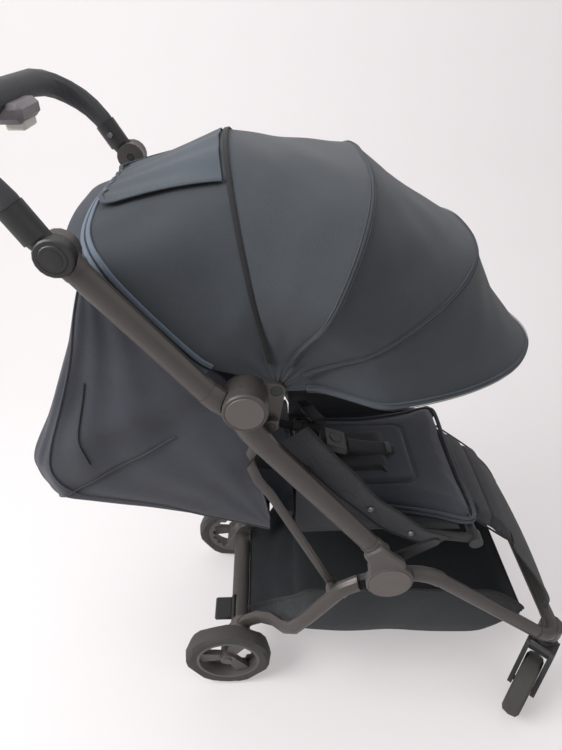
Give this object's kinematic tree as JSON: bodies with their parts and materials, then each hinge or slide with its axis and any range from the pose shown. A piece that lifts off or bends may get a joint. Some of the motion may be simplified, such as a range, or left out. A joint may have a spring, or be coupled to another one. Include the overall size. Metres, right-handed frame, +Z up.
{
  "type": "stroller",
  "caption": "Compact folding stroller with a fan canopy, reclining padded seat, calf rest, under-seat basket, swivel front wheels and braked rear wheels.",
  "frame": {"origin": "middle of the overall footprint, on the ground", "axes": "+X forwards, +Y to the stroller's left, +Z up"},
  "size_m": [0.8611, 0.5258, 1.056],
  "materials": {
    "lower_rail": "satin powder coat",
    "hinge_cover": "satin",
    "hub": "satin",
    "hub_cap": "satin",
    "seat_frame": "satin powder coat",
    "seat_sling": "plain weave",
    "seat_cushion": "plain weave",
    "crotch_strap": "woven strap",
    "buckle": "satin",
    "basket": "plain weave",
    "upper_rail": "satin powder coat",
    "canopy_knob": "satin",
    "sack": "plain weave",
    "canopy_panel_1": "plain weave",
    "rear_leg": "satin powder coat",
    "rear_axle_bar": "satin powder coat",
    "axle_housing": "satin",
    "front_leg": "satin powder coat",
    "front_cross_bar": "satin powder coat",
    "front_panel": "diagonal mesh",
    "backrest": "plain weave",
    "calf_rest": "plain weave",
    "buckle_button": "satin",
    "handle_tube": "satin",
    "grip": "soft foam, matt",
    "release_housing": "satin",
    "release_button": "satin",
    "canopy_bow_1": "satin",
    "canopy_panel_2": "plain weave",
    "canopy_bow_2": "satin",
    "canopy_panel_3": "plain weave",
    "canopy_bow_3": "satin",
    "canopy_panel_4": "plain weave",
    "canopy_front_bow": "satin",
    "brake_pedal": "satin",
    "strut": "satin powder coat",
    "pivot_button": "satin",
    "rear_rim": "satin",
    "rear_tyre": "matt foam rubber",
    "brake_pin": "satin",
    "castor_fork": "satin",
    "front_rim": "satin",
    "front_tyre": "matt foam rubber"
  },
  "bodies": {
    "chassis": {"lower_rail_right": "lower_rail", "lower_rail_left": "lower_rail", "hinge_cover_right": "hinge_cover", "hinge_cover_left": "hinge_cover", "hub_right": "hub", "hub_left": "hub", "hub_cap_right": "hub_cap", "hub_cap_left": "hub_cap", "seat_frame": "seat_frame", "seat_sling": "seat_sling", "seat_cushion": "seat_cushion", "crotch_strap": "crotch_strap", "buckle": "buckle", "basket": "basket"},
    "handle_frame": {"upper_rail_right": "upper_rail", "upper_rail_left": "upper_rail", "canopy_knob_right": "canopy_knob", "canopy_knob_left": "canopy_knob", "sack": "sack", "canopy_panel_1": "canopy_panel_1"},
    "rear_frame": {"rear_leg_right": "rear_leg", "rear_leg_left": "rear_leg", "rear_axle_bar": "rear_axle_bar", "axle_housing_right": "axle_housing", "axle_housing_left": "axle_housing"},
    "front_frame": {"front_leg_right": "front_leg", "front_leg_left": "front_leg", "front_cross_bar": "front_cross_bar", "front_panel": "front_panel"},
    "backrest": {"backrest": "backrest"},
    "calf_rest": {"calf_rest": "calf_rest"},
    "buckle_button": {"buckle_button": "buckle_button"},
    "handle": {"handle_tube": "handle_tube", "grip": "grip", "release_housing": "release_housing"},
    "release_button": {"release_button": "release_button"},
    "canopy_bow_1": {"canopy_bow_1": "canopy_bow_1", "canopy_panel_2": "canopy_panel_2"},
    "canopy_bow_2": {"canopy_bow_2": "canopy_bow_2", "canopy_panel_3": "canopy_panel_3"},
    "canopy_bow_3": {"canopy_bow_3": "canopy_bow_3", "canopy_panel_4": "canopy_panel_4"},
    "canopy_front_bow": {"canopy_front_bow": "canopy_front_bow"},
    "brake_pedal": {"brake_pedal": "brake_pedal"},
    "strut_right": {"strut_right": "strut"},
    "pivot_button_right": {"pivot_button_right": "pivot_button"},
    "rear_wheel_right": {"rear_rim_right": "rear_rim", "rear_tyre_right": "rear_tyre"},
    "brake_pin_right": {"brake_pin_right": "brake_pin"},
    "castor_right": {"castor_fork_right": "castor_fork"},
    "front_wheel_right": {"front_rim_right": "front_rim", "front_tyre_right": "front_tyre"},
    "strut_left": {"strut_left": "strut"},
    "pivot_button_left": {"pivot_button_left": "pivot_button"},
    "rear_wheel_left": {"rear_rim_left": "rear_rim", "rear_tyre_left": "rear_tyre"},
    "brake_pin_left": {"brake_pin_left": "brake_pin"},
    "castor_left": {"castor_fork_left": "castor_fork"},
    "front_wheel_left": {"front_rim_left": "front_rim", "front_tyre_left": "front_tyre"}
  },
  "joints": [
    {"name": "main_fold", "type": "hinge", "parent": "chassis", "child": "handle_frame", "pos_m": [-0.1285, 0, 0.73], "axis": [0, 1, 0], "range_deg": [0, 130], "deforming": ["sack", "canopy_panel_1"]},
    {"name": "rear_leg_fold", "type": "hinge", "parent": "chassis", "child": "rear_frame", "pos_m": [0.0826, 0, 0.38759], "axis": [0, 1, 0], "range_deg": [0, 47.22]},
    {"name": "front_leg_fold", "type": "hinge", "parent": "chassis", "child": "front_frame", "pos_m": [0.0826, 0, 0.38759], "axis": [0, 1, 0], "range_deg": [0, 95.05], "deforming": ["front_panel"]},
    {"name": "canopy_bow_1_fan", "type": "hinge", "parent": "handle_frame", "child": "canopy_bow_1", "pos_m": [-0.0905, 0, 0.735], "axis": [0, 1, 0], "range_deg": [-23.65, 0], "deforming": ["canopy_panel_2"]},
    {"name": "canopy_bow_2_fan", "type": "hinge", "parent": "canopy_bow_1", "child": "canopy_bow_2", "pos_m": [-0.0905, 0, 0.735], "axis": [0, 1, 0], "range_deg": [-30.95, 0], "deforming": ["canopy_panel_3"]},
    {"name": "canopy_bow_3_fan", "type": "hinge", "parent": "canopy_bow_2", "child": "canopy_bow_3", "pos_m": [-0.0905, 0, 0.735], "axis": [0, 1, 0], "range_deg": [-28.85, 0], "deforming": ["canopy_panel_4"]},
    {"name": "canopy_front_bow_fan", "type": "hinge", "parent": "canopy_bow_3", "child": "canopy_front_bow", "pos_m": [-0.0905, 0, 0.735], "axis": [0, 1, 0], "range_deg": [-24.35, 0]},
    {"name": "handle_tilt", "type": "hinge", "parent": "handle_frame", "child": "handle", "pos_m": [-0.30861, 0, 0.92445], "axis": [0, 1, 0], "range_deg": [-70, 20]},
    {"name": "release_button_press", "type": "slide", "parent": "handle", "child": "release_button", "axis": [0, 0, 1], "range_m": [0, 0.003], "stiffness_N_per_m": 400},
    {"name": "backrest_recline", "type": "hinge", "parent": "chassis", "child": "backrest", "pos_m": [-0.0675, 0, 0.462], "axis": [0, 1, 0], "range_deg": [0, 50]},
    {"name": "calf_rest_tilt", "type": "hinge", "parent": "chassis", "child": "calf_rest", "pos_m": [0.2235, 0, 0.423], "axis": [0, 1, 0], "range_deg": [-38, 25]},
    {"name": "buckle_button_press", "type": "slide", "parent": "chassis", "child": "buckle_button", "axis": [-0.342, 0, -0.9397], "range_m": [0, 0.0025], "stiffness_N_per_m": 300},
    {"name": "brake_pedal_press", "type": "hinge", "parent": "rear_frame", "child": "brake_pedal", "pos_m": [-0.1775, 0, 0.11], "axis": [0, 1, 0], "range_deg": [-18, 0]},
    {"name": "strut_right_swing", "type": "hinge", "parent": "handle_frame", "child": "strut_right", "pos_m": [-0.0975, -0.18, 0.685], "axis": [0, 1, 0], "range_deg": [-142.44, 0]},
    {"name": "pivot_button_right_press", "type": "slide", "parent": "handle", "child": "pivot_button_right", "axis": [0, 1, 0], "range_m": [0, 0.003], "stiffness_N_per_m": 300},
    {"name": "rear_wheel_right_spin", "type": "hinge", "parent": "rear_frame", "child": "rear_wheel_right", "pos_m": [-0.1855, -0.151, 0.0825], "axis": [0, 1, 0], "continuous": true},
    {"name": "brake_pin_right_slide", "type": "slide", "parent": "rear_frame", "child": "brake_pin_right", "axis": [0, -1, 0], "range_m": [0, 0.0041]},
    {"name": "castor_right_swivel", "type": "hinge", "parent": "front_frame", "child": "castor_right", "pos_m": [0.403, -0.177, 0.178], "axis": [0, 0, 1], "continuous": true},
    {"name": "front_wheel_right_spin", "type": "hinge", "parent": "castor_right", "child": "front_wheel_right", "pos_m": [0.37289, -0.21044, 0.0625], "axis": [-0.7431, 0.6691, 0], "continuous": true},
    {"name": "strut_left_swing", "type": "hinge", "parent": "handle_frame", "child": "strut_left", "pos_m": [-0.0975, 0.18, 0.685], "axis": [0, 1, 0], "range_deg": [-142.44, 0]},
    {"name": "pivot_button_left_press", "type": "slide", "parent": "handle", "child": "pivot_button_left", "axis": [0, -1, 0], "range_m": [0, 0.003], "stiffness_N_per_m": 300},
    {"name": "rear_wheel_left_spin", "type": "hinge", "parent": "rear_frame", "child": "rear_wheel_left", "pos_m": [-0.1855, 0.151, 0.0825], "axis": [0, 1, 0], "continuous": true},
    {"name": "brake_pin_left_slide", "type": "slide", "parent": "rear_frame", "child": "brake_pin_left", "axis": [0, 1, 0], "range_m": [0, 0.0041]},
    {"name": "castor_left_swivel", "type": "hinge", "parent": "front_frame", "child": "castor_left", "pos_m": [0.403, 0.177, 0.178], "axis": [0, 0, 1], "continuous": true},
    {"name": "front_wheel_left_spin", "type": "hinge", "parent": "castor_left", "child": "front_wheel_left", "pos_m": [0.37289, 0.21044, 0.0625], "axis": [0.7431, 0.6691, 0], "continuous": true}
  ],
  "couplings": [
    {"joint": "rear_leg_fold", "follows": "main_fold", "ratio": 0.36285},
    {"joint": "front_leg_fold", "follows": "main_fold", "ratio": 0.73077},
    {"joint": "canopy_bow_1_fan", "follows": "main_fold", "ratio": -0.18154},
    {"joint": "canopy_bow_2_fan", "follows": "main_fold", "ratio": -0.23769},
    {"joint": "canopy_bow_3_fan", "follows": "main_fold", "ratio": -0.22154},
    {"joint": "canopy_front_bow_fan", "follows": "main_fold", "ratio": -0.18692},
    {"joint": "strut_right_swing", "follows": "main_fold", "ratio": -1.0953},
    {"joint": "brake_pin_right_slide", "follows": "brake_pedal_press", "m_per_rad": -0.012732},
    {"joint": "strut_left_swing", "follows": "main_fold", "ratio": -1.0953},
    {"joint": "brake_pin_left_slide", "follows": "brake_pedal_press", "m_per_rad": -0.012732}
  ]
}
